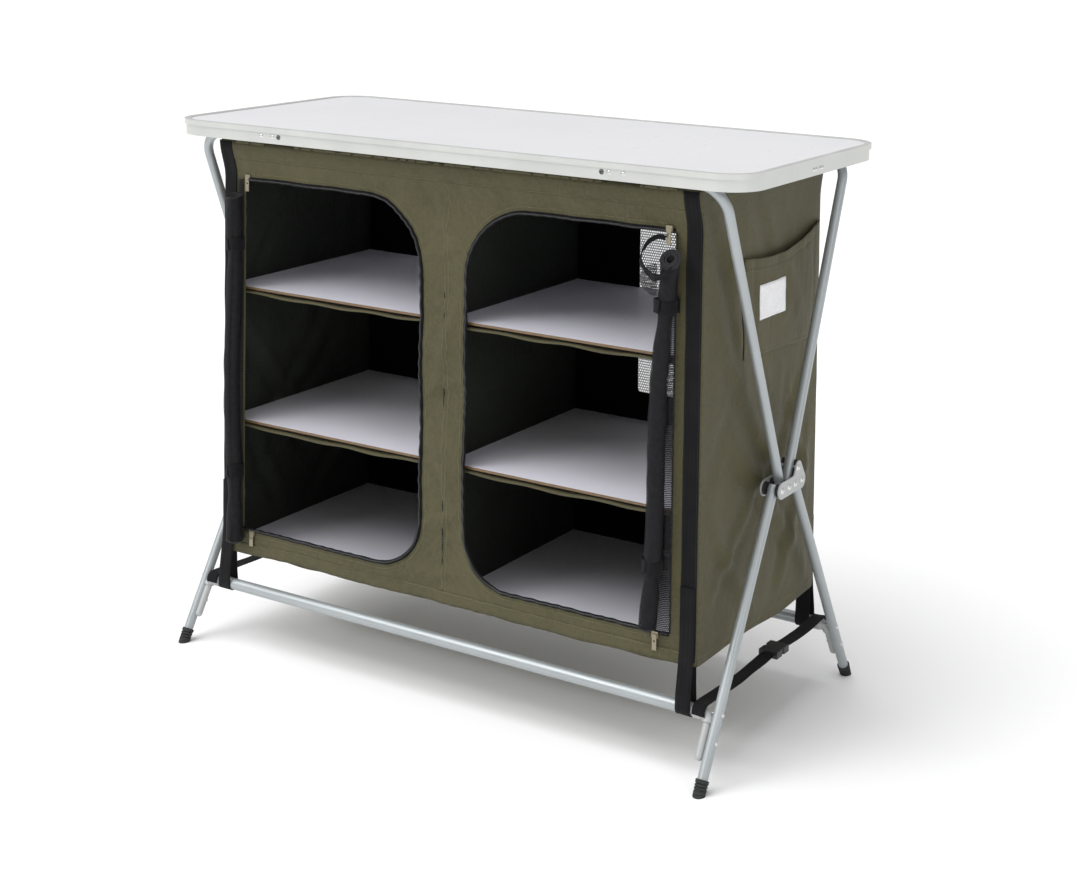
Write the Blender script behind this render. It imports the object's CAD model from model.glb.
import math

import bpy
from mathutils import Matrix, Vector, noise
from mathutils.geometry import delaunay_2d_cdt


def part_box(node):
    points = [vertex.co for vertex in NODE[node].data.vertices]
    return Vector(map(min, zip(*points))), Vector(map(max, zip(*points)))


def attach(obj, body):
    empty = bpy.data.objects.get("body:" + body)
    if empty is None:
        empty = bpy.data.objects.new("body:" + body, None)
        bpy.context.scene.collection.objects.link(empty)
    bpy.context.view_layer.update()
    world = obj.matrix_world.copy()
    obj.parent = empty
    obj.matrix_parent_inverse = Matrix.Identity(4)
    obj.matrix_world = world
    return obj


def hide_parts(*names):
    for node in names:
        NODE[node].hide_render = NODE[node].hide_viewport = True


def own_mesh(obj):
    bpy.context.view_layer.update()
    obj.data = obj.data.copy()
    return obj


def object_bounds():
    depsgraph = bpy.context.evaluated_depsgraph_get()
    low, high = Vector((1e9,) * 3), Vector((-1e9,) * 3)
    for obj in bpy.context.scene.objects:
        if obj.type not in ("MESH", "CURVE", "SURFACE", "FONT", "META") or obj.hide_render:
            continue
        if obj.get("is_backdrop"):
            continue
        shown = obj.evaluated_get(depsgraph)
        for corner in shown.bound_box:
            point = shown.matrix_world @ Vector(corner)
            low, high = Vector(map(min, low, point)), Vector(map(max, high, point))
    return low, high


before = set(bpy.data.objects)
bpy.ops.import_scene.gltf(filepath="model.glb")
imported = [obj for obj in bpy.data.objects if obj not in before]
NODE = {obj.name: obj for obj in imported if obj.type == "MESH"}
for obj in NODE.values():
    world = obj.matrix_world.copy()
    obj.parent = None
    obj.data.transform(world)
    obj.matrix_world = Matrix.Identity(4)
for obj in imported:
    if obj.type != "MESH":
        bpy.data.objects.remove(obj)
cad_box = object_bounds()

# ---------------------------------------------------------------- camera

AZ, EL, ROLL = math.radians(32.52), math.radians(3.30), math.radians(0.78)
ahead = Vector((-math.sin(AZ) * math.cos(EL), math.cos(AZ) * math.cos(EL), -math.sin(EL)))
right = ahead.cross(Vector((0, 0, 1))).normalized()
up = right.cross(ahead)
right, up = (math.cos(ROLL) * right + math.sin(ROLL) * up,
             math.cos(ROLL) * up - math.sin(ROLL) * right)
cam = bpy.data.objects.new("camera", bpy.data.cameras.new("camera"))
bpy.context.scene.collection.objects.link(cam)
turn = Matrix((right, up, -ahead)).transposed().to_4x4()
cam.matrix_world = Matrix.Translation((1.6432, -2.4963, 1.2264)) @ turn
cam.data.sensor_width = 36
cam.data.lens = 36 * 1908.5 / 1092
cam.data.shift_y = -437 / 1092
cam.data.clip_start = 0.05
bpy.context.scene.camera = cam

# ---------------------------------------------------------------- shader helpers


class Shader:
    """One procedural material. Numbers and colours go in by input name, sockets are linked."""

    def __init__(self, name, **base):
        self.mat = bpy.data.materials.new(name)
        self.mat.use_nodes = True
        self.tree = self.mat.node_tree
        self.bsdf = self.tree.nodes["Principled BSDF"]
        self.out = self.tree.nodes["Material Output"]
        self.feed(self.bsdf, base)

    def feed(self, node, values):
        for key, value in values.items():
            if isinstance(key, str):
                key = key.replace("_", " ")
                socket = next(s for s in node.inputs if s.name == key and s.enabled)
            else:
                socket = node.inputs[key]
            if isinstance(value, bpy.types.NodeSocket):
                self.tree.links.new(value, socket)
            elif hasattr(value, "__len__") and len(value) == 3 and socket.type == "RGBA":
                socket.default_value = (*value, 1)
            else:
                socket.default_value = value

    def node(self, kind, out=0, inputs=None, **props):
        n = self.tree.nodes.new("ShaderNode" + kind)
        for k, v in props.items():
            setattr(n, k, v)
        self.feed(n, inputs or {})
        return n.outputs[out]

    def math(self, op, a, b=0.0, c=0.0):
        return self.node("Math", inputs={0: a, 1: b, 2: c}, operation=op)

    def noise(self, where, scale, detail=3.0, rough=0.5, warp=0.0):
        return self.node("TexNoise", inputs={"Vector": where, "Scale": scale, "Detail": detail,
                                             "Roughness": rough, "Distortion": warp})

    def ramp(self, fac, a, b, lo=0.0, hi=1.0):
        """maps fac from lo..hi to a..b, numbers"""
        return self.node("MapRange", inputs={"Value": fac, "From Min": lo, "From Max": hi,
                                             "To Min": a, "To Max": b})

    def mix(self, fac, a, b):
        n = self.tree.nodes.new("ShaderNodeMix")
        n.data_type = "RGBA"
        for s, v in ((n.inputs[0], fac), (n.inputs[6], a), (n.inputs[7], b)):
            if isinstance(v, bpy.types.NodeSocket):
                self.tree.links.new(v, s)
            else:
                s.default_value = (*v, 1) if hasattr(v, "__len__") else v
        return n.outputs[2]

    def bump(self, height, strength, distance, under=None):
        inputs = {"Height": height, "Strength": strength, "Distance": distance}
        if under is not None:
            inputs["Normal"] = under
        return self.node("Bump", inputs=inputs)

    def stretched(self, where, scale):
        return self.node("Mapping", inputs={"Vector": where, "Scale": scale})

    def place(self):
        return self.node("TexCoord", out=3)

    def uv(self):
        """u and v in metres, from the mesh's own UV map"""
        uv = self.node("UVMap")
        x = self.tree.nodes.new("ShaderNodeSeparateXYZ")
        self.tree.links.new(uv, x.inputs[0])
        return uv, x.outputs[0], x.outputs[1]

    def end(self, **inputs):
        self.feed(self.bsdf, inputs)
        return self.mat


def shade(color, k):
    return tuple(min(1.0, c * k) for c in color)


def canvas(name, color, rough=0.62, sheen=0.06, gloss=0.3):
    """coated polyester: plain weave, creases, faint marks"""
    s = Shader(name, Sheen_Weight=sheen, Sheen_Roughness=0.5, Specular_IOR_Level=gloss)
    uv, u, v = s.uv()
    where = s.place()
    broad = s.noise(where, 5.0, 4.0, 0.6, 0.4)
    fine = s.noise(where, 210.0, 2.0)
    col = s.mix(s.ramp(broad, 0, 1, 0.3, 0.7), shade(color, 0.82), shade(color, 1.16))
    col = s.mix(s.ramp(fine, 0.0, 0.4, 0.35, 0.7), col, shade(color, 1.5))
    warp = s.math("SINE", s.math("MULTIPLY", u, 2 * math.pi / 0.0011))
    weft = s.math("SINE", s.math("MULTIPLY", v, 2 * math.pi / 0.0011))
    weave = s.math("MULTIPLY", warp, weft)
    crease = s.noise(s.stretched(where, (1, 1, 0.6)), 17.0, 5.0, 0.55, 1.2)
    ridge = s.math("ABSOLUTE", s.math("SUBTRACT", crease, 0.5))
    n = s.bump(ridge, 0.55, 0.006)
    n = s.bump(s.noise(where, 60.0, 3.0), 0.25, 0.0015, n)
    n = s.bump(weave, 0.25, 0.0003, n)
    return s.end(Base_Color=col, Roughness=s.ramp(broad, rough - 0.08, rough + 0.1), Normal=n)


def belt(name, color, rib=0.0016):
    """woven webbing: ribs across, a firm edge and a raised herringbone"""
    s = Shader(name, Roughness=0.72, Sheen_Weight=0.04, Sheen_Roughness=0.4, Specular_IOR_Level=0.14)
    uv, u, v = s.uv()
    zig = s.math("PINGPONG", u, 0.003)
    line = s.math("SINE", s.math("MULTIPLY", s.math("ADD", v, zig), 2 * math.pi / rib))
    cord = s.math("SINE", s.math("MULTIPLY", u, 2 * math.pi / 0.0012))
    where = s.place()
    dust = s.noise(where, 30.0, 4.0)
    col = s.mix(s.ramp(line, 0, 1, -1, 1), shade(color, 0.7), shade(color, 1.7))
    col = s.mix(s.ramp(dust, 0, 0.10, 0.45, 0.8), col, (0.05, 0.05, 0.048))
    n = s.bump(line, 0.5, 0.0005)
    n = s.bump(cord, 0.3, 0.0003, n)
    return s.end(Base_Color=col, Normal=n)


def netting(name, color, pitch, open_share, rough=0.6):
    """knitted mesh with real holes"""
    s = Shader(name, Roughness=rough, Specular_IOR_Level=0.15)
    uv, u, v = s.uv()
    row = s.math("FLOOR", s.math("DIVIDE", v, pitch))
    odd = s.math("MULTIPLY", s.math("MODULO", row, 2.0), pitch / 2)
    du = s.math("PINGPONG", s.math("ADD", u, odd), pitch / 2)
    dv = s.math("PINGPONG", v, pitch / 2)
    far_u = s.math("SUBTRACT", pitch / 2, du)
    r = s.math("SQRT", s.math("ADD", s.math("MULTIPLY", far_u, far_u),
                              s.math("MULTIPLY", s.math("SUBTRACT", pitch / 2, dv),
                                     s.math("SUBTRACT", pitch / 2, dv))))
    solid = s.math("GREATER_THAN", r, open_share * pitch)
    grain = s.noise(s.place(), 150.0, 2.0)
    col = s.mix(s.ramp(grain, 0, 1, 0.3, 0.7), shade(color, 0.75), shade(color, 1.15))
    n = s.bump(r, 0.6, 0.0006)
    return s.end(Base_Color=col, Normal=n, Alpha=solid)


def metal(name, color, metallic, rough, grain=0.0, speck=0.06, coat=0.0):
    s = Shader(name, Metallic=metallic, Coat_Weight=coat, Coat_Roughness=0.25)
    where = s.place()
    cloud = s.noise(where, 14.0, 4.0)
    tiny = s.noise(where, 900.0, 2.0)
    line = s.noise(s.stretched(where, (8, 900, 900)), 1.0, 2.0)
    col = s.mix(s.ramp(cloud, 0, 1, 0.3, 0.7), shade(color, 0.93), shade(color, 1.05))
    r = s.ramp(cloud, rough - 0.05, rough + 0.08, 0.3, 0.7)
    n = s.bump(tiny, speck, 0.0004)
    if grain:
        n = s.bump(line, grain, 0.0003, n)
    return s.end(Base_Color=col, Roughness=r, Normal=n)


def plastic(name, color, rough, ribs=0.0):
    s = Shader(name, Specular_IOR_Level=0.45)
    where = s.place()
    cloud = s.noise(where, 40.0, 4.0)
    col = s.mix(s.ramp(cloud, 0, 1, 0.3, 0.7), shade(color, 0.8), shade(color, 1.35))
    n = s.bump(s.noise(where, 700.0, 2.0), 0.2, 0.0004)
    if ribs:
        x = s.tree.nodes.new("ShaderNodeSeparateXYZ")
        s.tree.links.new(where, x.inputs[0])
        wave = s.math("SINE", s.math("MULTIPLY", x.outputs[2], 2 * math.pi / ribs))
        n = s.bump(wave, 0.8, 0.0011, n)
    return s.end(Base_Color=col, Roughness=s.ramp(cloud, rough - 0.06, rough + 0.08), Normal=n)


def laminate(name, face, edge):
    """melamine faces over a brown fibreboard edge, told apart by the surface's own direction"""
    s = Shader(name, Specular_IOR_Level=0.5)
    where = s.place()
    x = s.tree.nodes.new("ShaderNodeSeparateXYZ")
    s.tree.links.new(s.node("TexCoord", out=1), x.inputs[0])
    flat = s.math("GREATER_THAN", s.math("ABSOLUTE", x.outputs[2]), 0.6)
    cloud = s.noise(where, 3.0, 5.0, 0.6)
    fibre = s.noise(s.stretched(where, (1, 1, 9)), 160.0, 4.0)
    scuff = s.noise(s.stretched(where, (14, 1, 1)), 22.0, 6.0, 0.7)
    top = s.mix(s.ramp(cloud, 0, 1, 0.3, 0.7), shade(face, 0.965), shade(face, 1.02))
    brown = s.mix(s.ramp(fibre, 0, 1, 0.3, 0.7), shade(edge, 0.65), shade(edge, 1.3))
    col = s.mix(flat, brown, top)
    n = s.bump(s.noise(where, 420.0, 3.0), 0.12, 0.0003)
    n = s.bump(scuff, 0.03, 0.0004, n)
    return s.end(Base_Color=col, Roughness=s.ramp(scuff, 0.26, 0.44, 0.3, 0.7), Normal=n)


OLIVE = (0.070, 0.063, 0.029)
cloth = canvas("canvas_olive", OLIVE)
lining = canvas("canvas_inside", (0.026, 0.029, 0.025), 0.8, 0.0, 0.08)
shade_side = canvas("canvas_back_inside", (0.004, 0.004, 0.004), 0.85, 0.0, 0.04)
strap = belt("webbing_black", (0.006, 0.006, 0.007))
tape = belt("zip_tape", (0.006, 0.006, 0.007), 0.0011)
black_net = netting("door_mesh", (0.016, 0.016, 0.018), 0.0026, 0.30)
white_net = netting("window_mesh", (0.80, 0.81, 0.82), 0.0042, 0.30)
white_cloth = canvas("patch_white", (0.82, 0.82, 0.83), 0.55)
thread = plastic("thread_olive", (0.16, 0.16, 0.085), 0.7)
dark_thread = plastic("thread_black", (0.02, 0.02, 0.022), 0.7)
binding = belt("roll_binding", (0.034, 0.034, 0.037), 0.0011)
teeth = plastic("zip_coil", (0.018, 0.018, 0.02), 0.35)

boards = laminate("melamine_board", (0.80, 0.79, 0.87), (0.165, 0.105, 0.052))
table = laminate("melamine_top", (0.68, 0.68, 0.70), (0.30, 0.19, 0.085))
rim = metal("anodised_rim", (0.60, 0.61, 0.585), 0.55, 0.36, grain=0.10)
powder = metal("powder_silver", (0.40, 0.43, 0.44), 0.45, 0.40, speck=0.22)
cast = metal("cast_grey", (0.44, 0.45, 0.45), 0.25, 0.46, speck=0.3)
zinc = metal("zinc_rivet", (0.66, 0.66, 0.65), 0.9, 0.32)
dark = metal("dark_screw", (0.14, 0.14, 0.15), 0.9, 0.35)
pull = metal("zip_pull", (0.30, 0.27, 0.19), 0.7, 0.4)
black = plastic("black_plastic", (0.014, 0.014, 0.015), 0.42)
rubber = plastic("foot_rubber", (0.022, 0.023, 0.023), 0.72, ribs=0.0042)

LOOK = {
    table: ["top_board"],
    rim: ["rim_front", "rim_back", "rim_joiners"],
    zinc: ["rim_rivets", "cross_rivets", "front_elbow_rivets", "back_elbow_rivets"],
    dark: ["batten_screws"],
    powder: ["battens", "upper_front_frame", "upper_back_frame", "front_leg_left", "front_leg_right",
             "back_leg_left", "back_leg_right", "front_bar", "back_bar"],
    cast: ["cross_plates_left", "cross_plates_right", "front_elbows", "back_elbows"],
    black: ["cross_blocks", "pivot_washers", "buckle_sockets", "buckle_tongue_left",
            "buckle_tongue_right"],
    rubber: ["front_feet", "back_feet"],
    boards: ["shelf_low_left", "shelf_low_right", "shelf_mid_left", "shelf_mid_right",
             "shelf_top_left", "shelf_top_right"],
    pull: ["zip_slider_top_left", "zip_slider_top_right", "zip_slider_low_left",
           "zip_slider_low_right"],
}
for material, names in LOOK.items():
    for name in names:
        NODE[name].data.materials.clear()
        NODE[name].data.materials.append(material)

# ---------------------------------------------------------------- mesh helpers


def add(name, verts, faces, materials, uvs=None, body=None, smooth=True):
    """a mesh object; uvs is one pair in metres for each vertex"""
    me = bpy.data.meshes.new(name)
    me.from_pydata([tuple(v) for v in verts], [], faces)
    for m in materials if isinstance(materials, (list, tuple)) else [materials]:
        me.materials.append(m)
    if uvs:
        layer = me.uv_layers.new(name="UVMap")
        for loop in me.loops:
            layer.data[loop.index].uv = uvs[loop.vertex_index]
    if smooth:
        me.polygons.foreach_set("use_smooth", [True] * len(me.polygons))
    ob = bpy.data.objects.new(name, me)
    bpy.context.scene.collection.objects.link(ob)
    if body:
        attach(ob, body)
    return ob


def thicken(ob, t, offset=0.0, smooth_levels=0, lined=False):
    if smooth_levels:
        sub = ob.modifiers.new("smooth", "SUBSURF")
        sub.levels = sub.render_levels = smooth_levels
    solid = ob.modifiers.new("thickness", "SOLIDIFY")
    solid.thickness = t
    solid.offset = offset
    if lined:
        solid.material_offset = 1
    return ob


def sheet_mesh(loops, spacing, lift):
    """Triangles inside the first loop and outside the others. Points are (a, b) pairs;
    lift turns a pair into a point in space."""
    pts, edges = [], []
    for loop in loops:
        k = len(pts)
        pts += [Vector(p) for p in loop]
        edges += [(k + i, k + (i + 1) % len(loop)) for i in range(len(loop))]
    lo = [min(p[i] for p in pts) for i in (0, 1)]
    hi = [max(p[i] for p in pts) for i in (0, 1)]
    rim_cells = {}
    for p in pts:
        rim_cells.setdefault((int(p[0] // spacing), int(p[1] // spacing)), []).append(p)

    def clear(p):
        i, j = int(p[0] // spacing), int(p[1] // spacing)
        near = (q for di in (-1, 0, 1) for dj in (-1, 0, 1) for q in rim_cells.get((i + di, j + dj), ()))
        return all((q - p).length > spacing * 0.6 for q in near)

    rows = int((hi[1] - lo[1]) / (spacing * 0.87))
    cols = int((hi[0] - lo[0]) / spacing)
    for j in range(1, rows):
        for i in range(1, cols + 1):
            p = Vector((lo[0] + (i - 0.5 * (j % 2)) * spacing, lo[1] + j * (hi[1] - lo[1]) / rows))
            if lo[0] + spacing / 2 < p[0] < hi[0] - spacing / 2 and clear(p):
                pts.append(p)
    out, _, faces, *_ = delaunay_2d_cdt(pts, edges, [], 1, 1e-7)

    def inside(a, b, loop):
        hit = False
        for (ax, az), (bx, bz) in zip(loop, loop[1:] + loop[:1]):
            if (az > b) != (bz > b) and a < ax + (b - az) * (bx - ax) / (bz - az):
                hit = not hit
        return hit

    def in_hole(f):
        a, b = (sum(out[i][axis] for i in f) / 3 for axis in (0, 1))
        return any(inside(a, b, hole) for hole in loops[1:])

    kept = [list(f) for f in faces if not in_hole(f)]
    used = sorted({i for f in kept for i in f})
    new = {i: k for k, i in enumerate(used)}
    return ([lift(*out[i]) for i in used], [[new[i] for i in f] for f in kept],
            [tuple(out[i]) for i in used])


def grid_mesh(nu, nv, place, wrap=False):
    """verts, faces and uvs of a grid; place(i, j) gives the point and its uv"""
    cells = [place(i, j) for j in range(nv) for i in range(nu)]
    faces = [(j * nu + i, j * nu + (i + 1) % nu, (j + 1) * nu + (i + 1) % nu, (j + 1) * nu + i)
             for j in range(nv - 1) for i in range(nu if wrap else nu - 1)]
    return [c[0] for c in cells], faces, [c[1] for c in cells]


def along(points):
    """running length at each point"""
    total, out = 0.0, [0.0]
    for a, b in zip(points, points[1:]):
        total += (b - a).length
        out.append(total)
    return out


def smooth_path(points, step=0.004):
    """Catmull-Rom curve through the points, evenly sampled"""
    pts = [Vector(p) for p in points]
    pts = [2 * pts[0] - pts[1]] + pts + [2 * pts[-1] - pts[-2]]
    dense = []
    for a, b, c, d in zip(pts, pts[1:], pts[2:], pts[3:]):
        n = max(2, int((c - b).length / step))
        for k in range(n):
            t = k / n
            dense.append(0.5 * ((2 * b) + (c - a) * t + (2 * a - 5 * b + 4 * c - d) * t * t
                                + (3 * b - a - 3 * c + d) * t ** 3))
    return dense + [pts[-2]]


def ribbon(name, points, side, width, thick, material, body, wave=0.0, seed=0.0, cup=0.0):
    """webbing swept along points; side is the direction across its width"""
    side = Vector(side).normalized()
    run = along(points)
    verts, faces, uvs = [], [], []
    half = [(-1, 0), (-0.97, 1), (-0.6, 1), (-0.2, 1), (0.2, 1), (0.6, 1), (0.97, 1), (1, 0),
            (0.97, -1), (0.6, -1), (0.2, -1), (-0.2, -1), (-0.6, -1), (-0.97, -1)]
    n = len(half)
    for k, p in enumerate(points):
        t = (points[min(k + 1, len(points) - 1)] - points[max(k - 1, 0)]).normalized()
        across = (side - t * side.dot(t)).normalized()
        face = t.cross(across)
        for a, b in half:
            w = wave * noise.noise(Vector((run[k] * 22, a * 0.9, seed))) + cup * (a * a - 0.3)
            shift = across * (a * width / 2) + face * (b * thick / 2 + w)
            verts.append(p + shift)
            uvs.append((a * width / 2, run[k]))
    for k in range(len(points) - 1):
        for i in range(n):
            j = (i + 1) % n
            faces.append((k * n + i, k * n + j, (k + 1) * n + j, (k + 1) * n + i))
    faces += [tuple(range(n - 1, -1, -1)), tuple((len(points) - 1) * n + i for i in range(n))]
    return add(name, verts, faces, material, uvs, body)


def tube(name, points, r, material, body, sides=8):
    run = along(points)
    verts, faces, uvs = [], [], []
    ref = Vector((0.13, 0.9, 0.41))
    for k, p in enumerate(points):
        t = (points[min(k + 1, len(points) - 1)] - points[max(k - 1, 0)]).normalized()
        a = t.cross(ref).normalized()
        b = t.cross(a)
        radius = r(run[k]) if callable(r) else r
        for i in range(sides):
            ang = 2 * math.pi * i / sides
            verts.append(p + radius * (math.cos(ang) * a + math.sin(ang) * b))
            uvs.append((ang * 0.003, run[k]))
    for k in range(len(points) - 1):
        for i in range(sides):
            j = (i + 1) % sides
            faces.append((k * sides + i, k * sides + j, (k + 1) * sides + j, (k + 1) * sides + i))
    faces += [tuple(range(sides)), tuple((len(points) - 1) * sides + i for i in range(sides - 1, -1, -1))]
    return add(name, verts, faces, material, uvs, body)


def stitches(name, lines, out, material, body, pitch=0.0042, size=0.0028):
    """rows of thread: each stitch is a small rounded bar lying on the cloth"""
    out = Vector(out)
    verts, faces = [], []
    for points in lines:
        run = along(points)
        k, s = 0, pitch / 2
        while s < run[-1]:
            while run[k + 1] < s:
                k += 1
            t = (points[k + 1] - points[k]).normalized()
            mid = points[k] + t * (s - run[k])
            side = t.cross(out).normalized()
            base = len(verts)
            for e, w, h in ((-0.5, 0.0, 0.0), (-0.25, 1, 1), (0.25, 1, 1), (0.5, 0.0, 0.0)):
                for a, b in ((-1, 0), (0, 1), (1, 0)):
                    verts.append(mid + t * (e * size) + side * (a * w * 0.0005)
                                 + out * (b * h * 0.0006 - (1 - h) * 0.0003))
            for r in range(3):
                for c in range(2):
                    i = base + r * 3 + c
                    faces.append((i, i + 1, i + 4, i + 3))
            s += pitch
    return add(name, verts, faces, material, None, body)


def rumple(a, b, seed, scale=1.0):
    """cloth relief in -1..1: broad bellies with sharp creases that run in a few directions"""
    p = Vector((a * 3.1 * scale, b * 2.3 * scale, seed))
    q = Vector((a * 7.5 * scale + 0.8 * b, b * 4.1 * scale - 1.6 * a, seed + 7))
    broad = noise.noise(p)
    bend = noise.noise(p * 1.7 + Vector((3, 9, 1)))
    crease = 1 - 2.4 * abs(noise.noise(q + Vector((bend, -bend, 0)) * 0.9))
    small = noise.noise(Vector((a * 31, b * 27, seed + 3)))
    return 0.62 * broad + 0.30 * max(-1, crease) + 0.09 * small


def creases(a, b, lines, deep, wide):
    """folds along straight lines (a0, b0, a1, b1): a ridge with a trough beside it, tapered at its ends"""
    total = 0.0
    for a0, b0, a1, b1 in lines:
        da, db = a1 - a0, b1 - b0
        size = math.hypot(da, db)
        along_it = ((a - a0) * da + (b - b0) * db) / size ** 2
        if -0.15 < along_it < 1.15:
            off = ((a - a0) * db - (b - b0) * da) / size
            off += 0.006 * noise.noise(Vector((along_it * 3, a0 * 9, b0 * 9)))
            taper = fade(along_it, -0.15, 0.25) * fade(1.15 - along_it, 0, 0.5)
            ridge = math.exp(-(off / wide) ** 2)
            valley = math.exp(-((off - 1.7 * wide) / wide) ** 2)
            total += deep * taper * (ridge - 0.6 * valley)
    return total


def fade(x, lo, hi):
    t = min(1.0, max(0.0, (x - lo) / (hi - lo)))
    return t * t * (3 - 2 * t)


def arc(cx, cz, r, a0, a1, n):
    return [(cx + r * math.cos(math.radians(a0 + (a1 - a0) * k / n)),
             cz + r * math.sin(math.radians(a0 + (a1 - a0) * k / n))) for k in range(n + 1)]


def densify(pts, step, closed=True):
    out = []
    ends = list(zip(pts, pts[1:] + pts[:1])) if closed else list(zip(pts, pts[1:]))
    for (ax, az), (bx, bz) in ends:
        n = max(1, round(math.hypot(bx - ax, bz - az) / step))
        out += [(ax + (bx - ax) * k / n, az + (bz - az) * k / n) for k in range(n)]
    return out if closed else out + [pts[-1]]


# ---------------------------------------------------------------- sizes that match the CAD

lo_front, hi_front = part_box("front_panel")
WALL_Y = 0.0009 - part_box("windows")[1].y
CAB_X = hi_front.x - 0.0005
CAB_Z = lo_front.z
TOP_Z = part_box("side_right")[1].z
SIDE_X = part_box("side_right")[1].x - 0.0009
SIDE_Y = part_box("side_right")[1].y
BAR_Y, BAR_Z = 0.195, 0.093
BELT_W = 0.025

D_IN, D_OUT, D_LOW, D_TOP, R_TOP, R_LOW = 0.042, 0.392, 0.190, 0.757, 0.110, 0.080


def lean(z):
    """the cloth walls lean out over their top edge to meet the top bars"""
    return 0.0135 * fade(z, TOP_Z - 0.060, TOP_Z)


def door_edge(grow=0.0, step=0.005):
    """the curved edge of the right opening, from the outer top corner round to the outer bottom"""
    g = grow
    pts = [(D_OUT, D_TOP + g), (D_IN + R_TOP, D_TOP + g)]
    pts += arc(D_IN + R_TOP, D_TOP - R_TOP, R_TOP + g, 90, 180, 22)[1:]
    pts += arc(D_IN + R_LOW, D_LOW + R_LOW, R_LOW + g, 180, 270, 18)
    pts += [(D_OUT, D_LOW - g)]
    return densify(pts, step, closed=False)


# fold lines as (a0, b0, a1, b1) in metres on each wall
SIDE_FOLDS = [(-0.17, 0.80, 0.03, 0.50), (-0.02, 0.79, 0.13, 0.57), (-0.15, 0.62, 0.10, 0.31),
              (0.17, 0.53, -0.03, 0.24), (-0.11, 0.47, 0.15, 0.20), (0.17, 0.41, 0.05, 0.17),
              (-0.17, 0.36, -0.02, 0.17), (-0.16, 0.23, 0.03, 0.41), (-0.12, 0.74, -0.06, 0.52),
              (0.10, 0.48, 0.17, 0.30)]
FRONT_FOLDS = [(x, 0.812, x + 0.030 * math.sin(x * 40), 0.765)
               for x in (-0.38, -0.31, -0.22, -0.14, -0.07, 0.03, 0.11, 0.20, 0.28, 0.35)]
FRONT_FOLDS += [(-0.036, z, 0.036, z + 0.030 * math.sin(z * 31))
                for z in (0.735, 0.672, 0.604, 0.541, 0.468, 0.392, 0.331, 0.262)]
FRONT_FOLDS += [(-0.030, 0.80, 0.025, 0.68), (0.032, 0.62, -0.028, 0.45),
                (-0.03, 0.43, 0.03, 0.27), (-0.12, 0.172, 0.05, 0.200)]


def front_relief(x, z):
    """how far the front wall stands out from flat, towards the camera"""
    edge = min(fade(CAB_X - abs(x), BELT_W, 0.070), fade(TOP_Z - z, 0, 0.06))
    r = 0.0045 * rumple(x, z, 4.2, 1.6) * edge
    r += creases(x, z, FRONT_FOLDS, 0.0030, 0.0085) * edge
    # the strip between the doors is drawn into long soft folds below the top hem
    drawn = math.exp(-((abs(x) - 0.012) / 0.05) ** 2) * fade(0.80 - z, 0.0, 0.12)
    r += 0.002 * drawn * math.sin(z * 31 + 6 * noise.noise(Vector((x * 9, z * 2, 1.5))))
    # flat-felled seam down the middle
    r += 0.0011 * math.exp(-((x - 0.005) / 0.0042) ** 4) - 0.0012 * math.exp(-(x / 0.0016) ** 2)
    # short folds that hang from the top hem
    r += 0.0030 * fade(z, 0.68, 0.79) * edge * math.sin(x * 62 + 4 * noise.noise(Vector((x * 6, z * 3, 8.1))))
    # slack along the bottom edge
    r += 0.005 * fade(0.20 - z, 0, 0.05) * noise.noise(Vector((x * 8, 0.3, 2.7)))
    # puckers round the door openings
    for sx in (-1, 1):
        ax = sx * x
        if 0 < ax < D_OUT and (z > D_TOP - R_TOP or z < D_LOW + R_LOW or ax < D_IN + 0.02):
            r += 0.0009 * math.sin((z + ax) * 260 + 5 * noise.noise(Vector((x * 15, z * 15, 0))))
    return r


def wall_point(x, z, proud=0.0):
    return Vector((x, WALL_Y - lean(z) - front_relief(x, z) - proud, z))


# ---------------------------------------------------------------- front wall

outer = densify([(-CAB_X, CAB_Z), (CAB_X, CAB_Z), (CAB_X, TOP_Z), (-CAB_X, TOP_Z)], 0.008)


def bottom_wave(x):
    return 0.004 * noise.noise(Vector((x * 6, 5.5, 0))) - 0.006 * (1 - (x / CAB_X) ** 2) * 0.4


right_hole = door_edge() + densify([(D_OUT, D_LOW), (D_OUT, D_TOP)], 0.006, closed=False)[1:-1]
left_hole = [(-x, z) for x, z in right_hole]
verts, faces, uvs = sheet_mesh([outer, right_hole, left_hole], 0.008,
                               lambda x, z: wall_point(x, z + (bottom_wave(x) if z < CAB_Z + 1e-6 else 0)))
front = add("cloth_front", verts, faces, [cloth, lining], uvs, "front_wall")
thicken(front, 0.0011, smooth_levels=1, lined=True)
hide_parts("front_panel")
WALL_H = TOP_Z - CAB_Z


def sleeve(name, sign, body):
    """hem round the top bar, in lengths that leave room for the battens"""
    verts, faces, uvs = [], [], []
    for x0, x1 in ((-0.400, -0.342), (-0.280, 0.280), (0.342, 0.400)):
        base, nu, nv = len(verts), 20, max(4, int((x1 - x0) / 0.01))
        for j in range(nv + 1):
            x = x0 + (x1 - x0) * j / nv
            for i in range(nu):
                a = math.radians(-90 + 360 * i / (nu - 1))
                r = 0.0088 + 0.0005 * noise.noise(Vector((x * 25, math.cos(a) * 2, math.sin(a) * 2)))
                verts.append(Vector((x, sign * (0.206 + r * math.cos(a)), 0.8309 + r * math.sin(a))))
                uvs.append((a * 0.009, x))
        for j in range(nv):
            for i in range(nu - 1):
                k = base + j * nu + i
                faces.append((k, k + 1, k + nu + 1, k + nu))
        # the two plies that join the sleeve to the wall
        k = len(verts)
        for j in range(nv + 1):
            x = x0 + (x1 - x0) * j / nv
            for z in (0.8225, 0.8165):
                verts.append(Vector((x, sign * 0.2056, z)))
                uvs.append((z, x))
        for j in range(nv):
            a = k + 2 * j
            faces.append((a, a + 1, a + 3, a + 2))
    ob = add(name, verts, faces, cloth, uvs, body)
    return thicken(ob, 0.0009)


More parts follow.
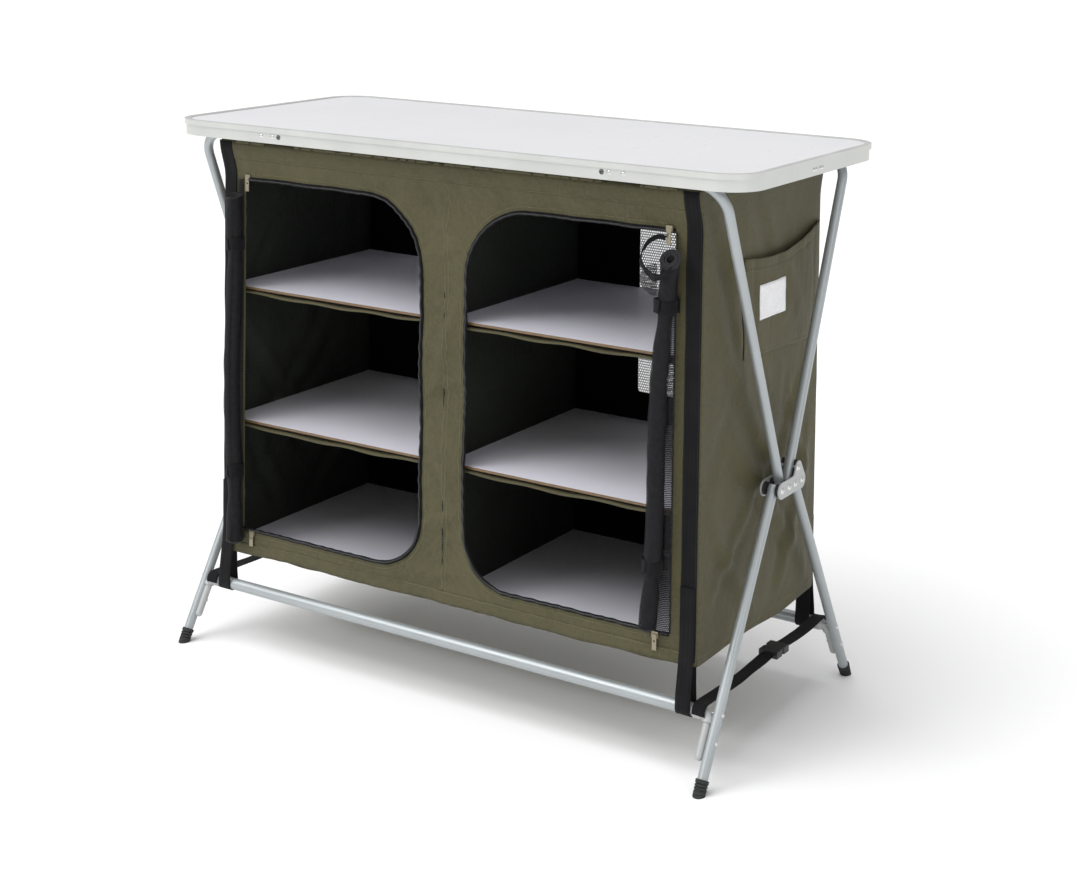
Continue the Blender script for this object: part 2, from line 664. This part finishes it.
sleeve("sleeve_front", -1, "front_wall")
sleeve("sleeve_back", 1, "back_wall")

# a doubled hem under the top edge and along the bottom edge
for tag, z0, z1 in (("top", TOP_Z - 0.030, TOP_Z - 0.001), ("bottom", CAB_Z + 0.001, CAB_Z + 0.019)):
    def hem_point(i, j, tag=tag, z0=z0, z1=z1):
        x = -CAB_X + 2 * CAB_X * i / 109
        z = z0 + (z1 - z0) * j / 4
        wave = bottom_wave(x) if tag == "bottom" else 0
        return wall_point(x, z + wave, 0.0009), (2 * CAB_X * i / 109, z)

    v, f, uv = grid_mesh(110, 5, hem_point)
    hem = add(f"hem_front_{tag}", v, f, cloth, uv, "front_wall")
    thicken(hem, 0.0008)

rows = []
for dx in (0.0022, 0.0085):
    rows.append([wall_point(dx, CAB_Z + 0.02 + 0.006 * k, 0.0008)
                 for k in range(int((WALL_H - 0.05) / 0.006))])
for z in (TOP_Z - 0.028, CAB_Z + 0.017):
    rows.append([wall_point(-CAB_X + 0.01 + 0.008 * k, z, 0.0014)
                 for k in range(int((2 * CAB_X - 0.02) / 0.008))])
for sx in (-1, 1):
    rows.append([wall_point(sx * x, z, 0.0009) for x, z in door_edge(0.0105)])
stitches("stitch_front", rows, (0, -1, 0), thread, "front_wall")


def zip_edge(name, sx):
    """tape round an opening, with the coil of the zip on its inner edge and a raised binding"""
    pts = door_edge(0.0, 0.004)
    verts, faces, uvs = [], [], []
    prof = ((-0.0015, 0.0012), (-0.0005, 0.0020), (0.001, 0.0026), (0.0025, 0.0022), (0.004, 0.0019),
            (0.0044, 0.0004))
    line = [Vector((x, 0, z)) for x, z in pts]
    lengths = along(line)
    for k, p in enumerate(line):
        t = (line[min(k + 1, len(line) - 1)] - line[max(k - 1, 0)]).normalized()
        nrm = Vector((-t.z, 0, t.x))
        if nrm.dot(p - Vector((0.26, 0, 0.45))) < 0:
            nrm = -nrm
        for a, b in prof:
            q = p + nrm * a
            w = wall_point(sx * q.x, q.z, b)
            verts.append(w)
            uvs.append((a, lengths[k]))
    m = len(prof)
    for k in range(len(line) - 1):
        for i in range(m - 1):
            faces.append((k * m + i, k * m + i + 1, (k + 1) * m + i + 1, (k + 1) * m + i))
    band = add(name, verts, faces, tape, uvs, "front_wall")
    thicken(band, 0.0009)
    coil = [wall_point(sx * x, z, 0.0032) for x, z in densify(door_edge(0.0010, 0.004), 0.0016, closed=False)]
    tube(f"{name}_coil", coil, lambda s: 0.0013 + 0.0005 * math.sin(s * 2 * math.pi / 0.0032), teeth,
         "front_wall", sides=6)
    return band


for tag, sx in (("right", 1), ("left", -1)):
    band = zip_edge(f"zip_{tag}", sx)
    if sx > 0:
        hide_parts("zip_tapes")

# ---------------------------------------------------------------- rolled mesh doors


def rolled_door(name, sx, path, loose_end):
    """A door wound up on itself. path gives the roll's middle at a share of its length."""
    turns, per = 6.3, 22
    nu = int(turns * per)
    nv = 84
    cinch = (0.14, 0.83)

    def place(i, j):
        t = j / (nv - 1)
        centre = path(t)
        th = 2 * math.pi * turns * i / (nu - 1)
        share = i / (nu - 1)
        pinch = sum(math.exp(-((t - c) / 0.035) ** 2) for c in cinch)
        hollow = 0.0036 * fade(t, 0.90, 1.0) * loose_end * (1 - share)
        r = (0.0030 + 0.0108 * share + hollow) * (1 - 0.22 * pinch)
        r *= 1 + 0.16 * noise.noise(Vector((th * 0.35, t * 13, 3.1 if sx > 0 else 8.4))) * (1 - 0.7 * pinch)
        # the loose end opens a little and tips forward
        open_end = fade(t, 0.90, 1.0) * loose_end
        r *= 1 + 0.22 * open_end * share
        tip = math.radians(62) * open_end
        skew = 0.006 * (share - 0.5) * (fade(t, 0.9, 1) * (1 - loose_end) + fade(0.1 - t, 0, 0.1))
        out = -math.sin(th) * r
        p = centre + Vector((math.cos(th) * r * sx, out * math.cos(tip), out * math.sin(tip) + skew))
        return p, (share * 0.35, t * 0.53)

    v, f, uv = grid_mesh(nu, nv, place)
    ob = add(name, v, f, black_net, uv, "front_wall")
    # binding tape on both ends of the roll
    for tag, j in (("low", 0), ("top", nv - 1)):
        edge = [place(i, j)[0] for i in range(nu)]
        tube(f"{name}_bind_{tag}", edge, 0.0009, binding, "front_wall", sides=6)
    return ob


# height of each roll's foot, and its length
RIGHT_ROLL, LEFT_ROLL = (0.196, 0.526), (0.170, 0.560)
BAND_HEIGHTS = (0.289, 0.655)


def right_path(t):
    z = RIGHT_ROLL[0] + RIGHT_ROLL[1] * t
    head = fade(t, 0.88, 1.0)
    return Vector((0.366 + 0.024 * t + 0.004 * math.sin(t * 7) + 0.003 * head,
                   WALL_Y - 0.0175 - 0.003 * math.sin(t * 5) - 0.007 * head, z))


def left_path(t):
    z = LEFT_ROLL[0] + LEFT_ROLL[1] * t
    return Vector((-0.398 - 0.006 * t + 0.003 * math.sin(t * 9),
                   WALL_Y - 0.0175 - 0.002 * math.sin(t * 6), z))


def roll_band(name, sx, z, path, slack=0.0):
    """webbing that ties a rolled door back to the wall"""
    foot, length = RIGHT_ROLL if sx > 0 else LEFT_ROLL
    c = path((z - foot) / length)
    loop = []
    for k in range(41):
        a = math.radians(-80 + 340 * k / 40)
        r = 0.0142 + slack * max(0.0, math.sin(a * 0.5 + 0.4)) ** 2
        loop.append(Vector((c.x + r * math.cos(a) * sx, c.y + r * math.sin(a), z + 0.0015 * math.sin(2 * a))))
    tail = [Vector((c.x + sx * (0.008 + 0.0025 * k), WALL_Y - 0.004 + 0.0002 * k, z)) for k in range(4)]
    ob = ribbon(name, smooth_path(loop, 0.003), (0, 0, 1), 0.020, 0.0013, strap, "front_wall",
                wave=0.0008, seed=z * 10)
    ribbon(f"{name}_anchor", smooth_path(tail, 0.003), (0, 0, 1), 0.020, 0.0012, strap, "front_wall")


for k, z in enumerate(BAND_HEIGHTS):
    roll_band(f"band_right_{k}", 1, z, right_path, 0.004 * k)
for k, z in enumerate(BAND_HEIGHTS):
    roll_band(f"band_left_{k}", -1, z, left_path)
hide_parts("roll_straps")
door_r = rolled_door("mesh_door_right", 1, right_path, 0.9)
door_l = rolled_door("mesh_door_left", -1, left_path, 0.2)
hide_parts("door_roll_right")
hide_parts("door_roll_left")

# the part of each door that is still joined to the wall, from the opening's outer edge to the roll
for tag, sx, path in (("right", 1, right_path), ("left", -1, left_path)):
    def flap(i, j, sx=sx, path=path):
        t = j / 60
        z = D_LOW + (D_TOP - D_LOW) * t
        c = path(min(1, max(0, (z - 0.19) / 0.54)))
        s = i / 7
        a = Vector((sx * (D_OUT + 0.003), WALL_Y - 0.001, z))
        b = Vector((c.x + sx * 0.004, c.y + 0.0138, z))
        p = a.lerp(b, s)
        p.y -= 0.004 * math.sin(math.pi * s) + 0.0015 * noise.noise(Vector((s * 3, t * 20, sx)))
        return p, (0.03 * s, z)
    v, f, uv = grid_mesh(8, 61, flap)
    add(f"door_flap_{tag}", v, f, black_net, uv, "front_wall")

# the webbing loop that hangs by the right roll's head, and the slack net beside it
hanging = smooth_path([(0.381, WALL_Y - 0.009, 0.748), (0.372, WALL_Y - 0.014, 0.750),
                       (0.360, WALL_Y - 0.018, 0.743), (0.350, WALL_Y - 0.019, 0.728),
                       (0.347, WALL_Y - 0.018, 0.713), (0.355, WALL_Y - 0.020, 0.703),
                       (0.367, WALL_Y - 0.026, 0.698), (0.380, WALL_Y - 0.036, 0.697),
                       (0.394, WALL_Y - 0.036, 0.703), (0.402, WALL_Y - 0.028, 0.712)], 0.002)
ribbon("roll_loop", hanging, (0.45, -0.5, 0.74), 0.010, 0.0014, strap, "front_wall",
       wave=0.0006, seed=5.0)


def slack_net(i, j):
    s, t = i / 14, j / 18
    swell = math.sin(math.pi * t) ** 0.7
    x = 0.373 - s * (0.008 + 0.020 * swell)
    y = WALL_Y - 0.018 - 0.007 * math.sin(math.pi * s) * swell
    y += 0.002 * noise.noise(Vector((s * 4, t * 6, 2)))
    return Vector((x, y, 0.668 + 0.044 * t)), (0.03 * s, 0.05 * t)


v, f, uv = grid_mesh(15, 19, slack_net)
add("slack_net", v, f, black_net, uv, "front_wall")

# ---------------------------------------------------------------- corner webbing and bar loops


def corner_belts(tag, sy, wall_body, legs):
    pieces = []
    for side, sx in (("right", 1), ("left", -1)):
        x = sx * (CAB_X - BELT_W / 2 - 0.0005)
        drop = [Vector((x, sy * (abs(WALL_Y) + lean(z / 1000) + 0.0016), z / 1000))
                for z in range(818, 148, -12)]
        belt_ob = ribbon(f"belt_{tag}_{side}", drop, (1, 0, 0), BELT_W, 0.0013, strap, wall_body,
                         wave=0.0012, seed=sx + sy)
        rows = [[Vector((x + dx, sy * (abs(WALL_Y) + lean(z / 1000) + 0.0026), z / 1000))
                 for z in range(815, 155, -8)] for dx in (-0.0105, 0.0105)]
        stitches(f"belt_stitch_{tag}_{side}", rows, (0, sy, 0), dark_thread, wall_body)
        r = 0.0101
        wall = abs(WALL_Y)
        turn = [(wall + 0.0040, 0.262), (wall + 0.0040, 0.215), (wall + 0.0045, 0.175),
                (BAR_Y + 0.0055, 0.135), (BAR_Y + r - 0.001, 0.112)]
        turn += [(BAR_Y + r * math.cos(math.radians(a)), BAR_Z + r * math.sin(math.radians(a)))
                 for a in range(10, -191, -20)]
        turn += [(BAR_Y - 0.008, 0.114), (wall - 0.0035, 0.135), (wall - 0.0030, 0.162)]
        loop = ribbon(f"loop_{tag}_{side}", smooth_path([Vector((x, sy * y, z)) for y, z in turn], 0.003),
                      (1, 0, 0), BELT_W - 0.001, 0.0013, strap, legs, wave=0.0005, seed=sx * 2)
        pieces.append((belt_ob, loop))
    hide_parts(f"{tag}_webbing")
    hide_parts(f"{tag}_loops")
    for _, loop in pieces:
        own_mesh(loop)


corner_belts("front", -1, "front_wall", "front_legs")
corner_belts("back", 1, "back_wall", "back_legs")

# ---------------------------------------------------------------- side walls, divider, back wall
# the side walls, the divider and what is sewn to them ride on the back wall, and fold flat against it


def side_relief(y, z, seed):
    edge = min(fade(SIDE_Y - abs(y), 0, 0.05), fade(TOP_Z - z, 0, 0.07), fade(z - CAB_Z, -0.01, 0.05))
    # long diagonal folds pulled from the front top corner to the back bottom corner
    slant = (y * 0.75 + z) * 7.5 + 1.5 * noise.noise(Vector((y * 4, z * 4, seed)))
    sweep = max(0.0, math.sin(slant)) ** 3
    # the pocket's seams hold the wall flatter behind it
    calm = 1 - 0.7 * fade(y, -0.09, -0.06) * fade(z, 0.54, 0.57) * fade(0.73 - z, 0, 0.03)
    pulled = creases(y if seed < 15 else -y, z, SIDE_FOLDS, 0.0052, 0.013)
    return (0.0075 * rumple(y, z, seed, 1.5) + 0.0040 * sweep + pulled) * edge * calm


def side_wall(name, sx, node, materials):
    loop = densify([(-SIDE_Y, CAB_Z), (SIDE_Y, CAB_Z), (SIDE_Y, TOP_Z), (-SIDE_Y, TOP_Z)], 0.008)
    seed = 11.0 if sx > 0 else 17.0

    def lift(y, z):
        drop = 0
        if z < CAB_Z + 1e-6:
            drop = 0.010 * (1 - (y / SIDE_Y) ** 2) * noise.noise(Vector((y * 5, seed, 1)))
        wide = y * (abs(WALL_Y) - 0.0004 + lean(z)) / SIDE_Y
        return Vector((sx * (SIDE_X + side_relief(y, z, seed)), wide, z + drop))

    v, f, uv = sheet_mesh([loop], 0.008, lift)
    ob = add(name, v, f, materials, uv, "back_wall")
    thicken(ob, 0.0011, smooth_levels=1, lined=True)
    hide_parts(node)
    return ob


right_wall = side_wall("cloth_side_right", 1, "side_right", [cloth, lining])
left_wall = side_wall("cloth_side_left", -1, "side_left", [lining, cloth])
for sx in (1, -1):
    seed = 11.0 if sx > 0 else 17.0
    rows = [[Vector((sx * (SIDE_X + side_relief(y0 / 1000, z, seed) + 0.0009), y0 / 1000, z))
             for y0 in range(-184, 185, 8)] for z in (CAB_Z + 0.012, TOP_Z - 0.02)]
    side = "right" if sx > 0 else "left"
    stitched = stitches(f"stitch_side_{side}", rows, (sx, 0, 0), thread, "back_wall")
    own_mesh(stitched)



def divider_point(i, j):
    bulge = 0.004 * rumple(-0.2 + 0.4 * i / 49, 0.2 + 0.62 * j / 69, 23.0)
    return (Vector((bulge, (abs(WALL_Y) - 0.0004) * (i / 24.5 - 1), CAB_Z + WALL_H * j / 69)),
            (0.38 * i / 49, WALL_H * j / 69))


v, f, uv = grid_mesh(50, 70, divider_point)
divider = add("cloth_divider", v, f, lining, uv, "back_wall")
thicken(divider, 0.0011)
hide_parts("divider")

WIN = (0.118, 0.323, 0.408, 0.700)
win_r = densify([(WIN[0], WIN[2]), (WIN[1], WIN[2]), (WIN[1], WIN[3]), (WIN[0], WIN[3])], 0.008)
win_l = [(-x, z) for x, z in win_r]


def back_point(x, z, proud=0.0):
    edge = min(fade(CAB_X - abs(x), BELT_W, 0.070), fade(TOP_Z - z, 0, 0.06), fade(abs(x), 0.002, 0.05))
    seam = 0.0011 * math.exp(-((x - 0.005) / 0.0042) ** 4)
    return Vector((x, -WALL_Y + lean(z) + 0.0070 * rumple(x, z, 31.0) * edge + seam + proud, z))


v, f, uv = sheet_mesh([outer, win_r, win_l], 0.009, back_point)
back = add("cloth_back", v, f, [shade_side, cloth], uv, "back_wall")
thicken(back, 0.0011, smooth_levels=1, lined=True)
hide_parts("back_panel")
for tag, sx in (("right", 1), ("left", -1)):
    v, f, uv = grid_mesh(24, 32, lambda i, j: (
        back_point(sx * (WIN[0] - 0.004 + 0.213 * i / 23), WIN[2] - 0.004 + 0.300 * j / 31, 0.0),
        (0.213 * i / 23, 0.300 * j / 31)))
    net = add(f"window_net_{tag}", v, f, white_net, uv, "back_wall")
    frame_pts = densify([(WIN[0] - 0.004, WIN[2] - 0.004), (WIN[1] + 0.004, WIN[2] - 0.004),
                         (WIN[1] + 0.004, WIN[3] + 0.004), (WIN[0] - 0.004, WIN[3] + 0.004)], 0.01)
    edge = [back_point(sx * x, z, 0.0012) for x, z in frame_pts + frame_pts[:1]]
    tube(f"window_bind_{tag}", edge, 0.0012, tape, "back_wall", sides=6)
    stitches(f"window_stitch_{tag}", [edge], (0, 1, 0), thread, "back_wall")
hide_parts("windows")

# ---------------------------------------------------------------- cloth floors under the boards

for level, z in (("low", 0.154), ("mid", 0.360), ("top", 0.578)):
    for tag, sx in (("right", 1), ("left", -1)):
        seed = z * 40 + sx

        def floor_point(i, j, sx=sx, z=z, seed=seed):
            x = 0.003 + 0.431 * i / 60
            y = -0.1865 + 0.373 * j / 44
            mid = math.sin(math.pi * i / 60)
            front_edge = fade(-0.145 - y, 0, 0.041)
            slack = 0.7 + 0.5 * noise.noise(Vector((x * 12, seed, 0)))
            sag = 0.0012 + front_edge * (0.002 + 0.0045 * mid * slack)
            sag += front_edge * 0.001 * math.sin(x * 55 + seed)
            return Vector((sx * x, y, z - sag)), (x, y)

        v, f, uv = grid_mesh(61, 45, floor_point)
        ob = add(f"cloth_floor_{level}_{tag}", v, f, cloth, uv, f"{level}_shelf")
        thicken(ob, 0.0011)
        lip = [floor_point(i, 0)[0] + Vector((0, 0, -0.0004)) for i in range(61)]
        tube(f"floor_piping_{level}_{tag}", lip, 0.0017, cloth, f"{level}_shelf", sides=8)
    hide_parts(f"floor_{level}")

# ---------------------------------------------------------------- side pocket

P_Y = (-0.074, 0.183)


def pocket_edge_z(y, t):
    """bottom and top of the pocket fall away towards the back"""
    s = (y - P_Y[0]) / (P_Y[1] - P_Y[0])
    low = 0.559 - 0.012 * s
    high = 0.700 + 0.022 * s - 0.016 * math.sin(math.pi * s)
    return low + (high - low) * t


def pocket_point(i, j):
    s, t = i / 70, j / 34
    y = P_Y[0] + (P_Y[1] - P_Y[0]) * s
    z = pocket_edge_z(y, t)
    belly = (4 * s * (1 - s)) ** 0.4 * (0.35 + 0.65 * fade(t, 0, 0.5)) * fade(t, -0.02, 0.08)
    pleat = 0.0022 * (math.exp(-((s - 0.10) / 0.02) ** 2) + math.exp(-((s - 0.90) / 0.02) ** 2))
    crease = 0.0018 * rumple(y * 3, z * 3, 47.0)
    x = SIDE_X + side_relief(y, z, 11.0) + 0.0016 + belly * (0.0085 + crease * 1.6) - pleat * belly
    return Vector((x, y, z)), (y, z)


v, f, uv = grid_mesh(71, 35, pocket_point)
pocket = add("cloth_pocket", v, f, cloth, uv, "back_wall")
thicken(pocket, 0.0011, smooth_levels=1)
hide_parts("pocket")
hem_line = [pocket_point(i, 34)[0] + Vector((0.0004, 0, 0)) for i in range(71)]
hem = ribbon("pocket_hem", hem_line, (0, 0, 1), 0.012, 0.0018, cloth, "back_wall")
rows = [[pocket_point(i, 31)[0] + Vector((0.0010, 0, 0)) for i in range(71)],
        [pocket_point(i, 1)[0] + Vector((0.0010, 0, 0)) for i in range(71)],
        [pocket_point(1, j)[0] + Vector((0.0010, 0, 0)) for j in range(35)],
        [pocket_point(69, j)[0] + Vector((0.0010, 0, 0)) for j in range(35)]]
sewn = stitches("pocket_stitch", rows, (1, 0, 0), thread, "back_wall")


def patch_point(i, j):
    s, t = i / 20, j / 12
    y = -0.034 + 0.084 * s
    z = 0.611 + 0.051 * t
    si = (y - P_Y[0]) / (P_Y[1] - P_Y[0]) * 70
    lo = pocket_edge_z(y, 0)
    tj = (z - lo) / (pocket_edge_z(y, 1) - lo) * 34
    return pocket_point(si, tj)[0] + Vector((0.0012, 0, 0)), (y, z)


v, f, uv = grid_mesh(21, 13, patch_point)
patch = add("patch_plain", v, f, white_cloth, uv, "back_wall")
thicken(patch, 0.0007)
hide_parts("label_patch")
ring = ([patch_point(i, 0.8)[0] for i in range(1, 20)]
        + [patch_point(19.2, j)[0] for j in range(1, 12)]
        + [patch_point(i, 11.2)[0] for i in range(19, 0, -1)]
        + [patch_point(0.8, j)[0] for j in range(11, 0, -1)])
patch_sewn = stitches("patch_stitch", [[p + Vector((0.0006, 0, 0)) for p in ring]], (1, 0, 0), white_cloth,
                      "back_wall", 0.0034, 0.0022)
for ob in (right_wall, left_wall, divider, pocket, hem, sewn, patch, patch_sewn):
    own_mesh(ob)

# ---------------------------------------------------------------- tie straps

STRAP_X, STRAP_Z = 0.448, 0.093 + 0.0108 + 0.0008
for tag, sy, end, body in (("front", -1, 0.012, "front_straps"), ("back", 1, 0.052, "back_straps")):
    for side, sx in (("right", 1), ("left", -1)):
        x = sx * STRAP_X
        r = 0.0116
        pts = [Vector((x, sy * (BAR_Y + r * math.cos(math.radians(a))),
                       BAR_Z + r * math.sin(math.radians(a)))) for a in range(-8, 91, 14)]
        start = sy * (BAR_Y - 0.012)
        for k in range(1, 15):
            s = k / 14
            y = start + (end - start) * s
            pts.append(Vector((x, y, STRAP_Z + 0.0004 - 0.0035 * math.sin(math.pi * s))))
        ribbon(f"tie_{tag}_{side}", smooth_path(pts, 0.004), (1, 0, 0), 0.021, 0.0014,
                           strap, body, wave=0.0012, seed=sx * 3 + sy)
    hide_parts(f"tie_straps_{tag}")

# ---------------------------------------------------------------- floor and light

s = Shader("studio_floor", Roughness=0.6, Specular_IOR_Level=0.2)
patchy = s.noise(s.place(), 1.3, 3.0)
s.end(Base_Color=s.mix(s.ramp(patchy, 0, 1), (0.965, 0.965, 0.965), (0.985, 0.985, 0.985)))
ground = add("ground", [(-60, -60, 0), (60, -60, 0), (60, 60, 0), (-60, 60, 0)], [(0, 1, 2, 3)], s.mat)
ground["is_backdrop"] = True


def soft_light(name, at, target, size, watts, tint=(1, 1, 1)):
    light = bpy.data.lights.new(name, "AREA")
    light.shape = "RECTANGLE"
    light.size, light.size_y = size
    light.energy = watts
    light.color = tint
    ob = bpy.data.objects.new(name, light)
    bpy.context.scene.collection.objects.link(ob)
    ob.location = at
    ob.rotation_euler = (Vector(target) - Vector(at)).to_track_quat("-Z", "Y").to_euler()


soft_light("key", (-1.6, -2.8, 2.9), (0, 0, 0.45), (1.6, 1.2), 26)
soft_light("fill", (3.2, -1.6, 2.0), (0, 0, 0.45), (1.4, 1.4), 14)
sun = bpy.data.lights.new("sun", "SUN")
sun.energy = 2.3
sun.angle = math.radians(62)
sky = bpy.data.objects.new("sun", sun)
bpy.context.scene.collection.objects.link(sky)
sky.rotation_euler = Vector((0.60, 0.62, -1.7)).to_track_quat("-Z", "Y").to_euler()
world = bpy.data.worlds.new("studio")
world.use_nodes = True
world.node_tree.nodes["Background"].inputs[0].default_value = (0.99, 0.99, 1.0, 1)
world.node_tree.nodes["Background"].inputs[1].default_value = 0.55
bpy.context.scene.world = world
bpy.context.scene.view_settings.view_transform = "Standard"

plain = lambda b: [[float(x) for x in c] for c in b]
{"cad": plain(cad_box), "visual": plain(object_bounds())}
